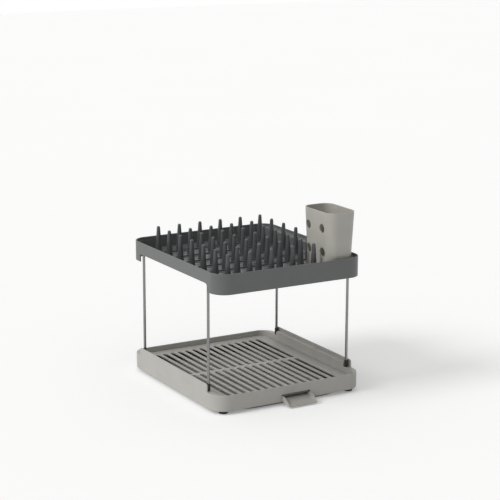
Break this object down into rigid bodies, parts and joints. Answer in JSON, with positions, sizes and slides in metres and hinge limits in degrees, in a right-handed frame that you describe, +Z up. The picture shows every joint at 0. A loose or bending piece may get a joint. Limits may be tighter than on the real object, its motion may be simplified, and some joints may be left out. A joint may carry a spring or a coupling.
{
  "type": "two-tier dish rack",
  "caption": "Two-tier dish rack: slotted draining tray with a pull-out spout below, a deep spiked plate tray on two wire leg frames above, and a lift-out cutlery cup.",
  "frame": {"origin": "on the ground, below the middle of the rack's overall box with the spout pulled out", "axes": "+Z up, +X to the right along the spout side, +Y from the spout side to the back"},
  "size_m": [0.3, 0.358, 0.3319],
  "materials": {
    "taupe_plastic": "satin moulded taupe plastic",
    "cup_plastic": "satin moulded taupe plastic",
    "charcoal_plastic": "satin moulded charcoal plastic",
    "spike_plastic": "satin dark charcoal plastic",
    "leg_steel": "polished round stainless wire",
    "tip_plastic": "black plastic",
    "foot_rubber": "matt black rubber"
  },
  "bodies": {
    "lower_tray": {"drip_tray": "taupe_plastic", "left_front_foot_pad": "foot_rubber", "left_back_foot_pad": "foot_rubber", "right_front_foot_pad": "foot_rubber", "right_back_foot_pad": "foot_rubber"},
    "panel": {"drain_panel": "taupe_plastic"},
    "spout": {"drain_spout": "taupe_plastic"},
    "upper_tier": {"upper_tray": "charcoal_plastic", "spike_row_1": "spike_plastic", "spike_row_2": "spike_plastic", "spike_row_3": "spike_plastic", "spike_row_4": "spike_plastic", "spike_row_5": "spike_plastic", "spike_row_6": "spike_plastic", "spike_row_7": "spike_plastic", "left_front_wire_clip": "charcoal_plastic", "left_back_wire_clip": "charcoal_plastic", "right_front_wire_clip": "charcoal_plastic", "right_back_wire_clip": "charcoal_plastic"},
    "left_leg": {"left_leg_wire": "leg_steel", "left_front_leg_tip": "tip_plastic", "left_back_leg_tip": "tip_plastic"},
    "right_leg": {"right_leg_wire": "leg_steel", "right_front_leg_tip": "tip_plastic", "right_back_leg_tip": "tip_plastic"},
    "cup": {"cutlery_cup": "cup_plastic"}
  },
  "joints": [
    {"name": "panel_lift", "type": "slide", "parent": "lower_tray", "child": "panel", "axis": [0, 0, 1], "range_m": [0, 0.05]},
    {"name": "spout_slide", "type": "slide", "parent": "lower_tray", "child": "spout", "axis": [0, 0.9781, 0.2079], "range_m": [0, 0.022]},
    {"name": "upper_tier_lift", "type": "slide", "parent": "lower_tray", "child": "upper_tier", "axis": [0, 0, 1], "range_m": [0, 0.03]},
    {"name": "left_leg_swing", "type": "hinge", "parent": "upper_tier", "child": "left_leg", "pos_m": [-0.143, 0.01204, 0.2313], "axis": [0, -1, 0], "range_deg": [0, 24]},
    {"name": "right_leg_swing", "type": "hinge", "parent": "upper_tier", "child": "right_leg", "pos_m": [0.143, 0.01204, 0.2313], "axis": [0, 1, 0], "range_deg": [0, 24]},
    {"name": "cup_lift", "type": "slide", "parent": "upper_tier", "child": "cup", "axis": [0, 0, 1], "range_m": [0, 0.04]}
  ]
}
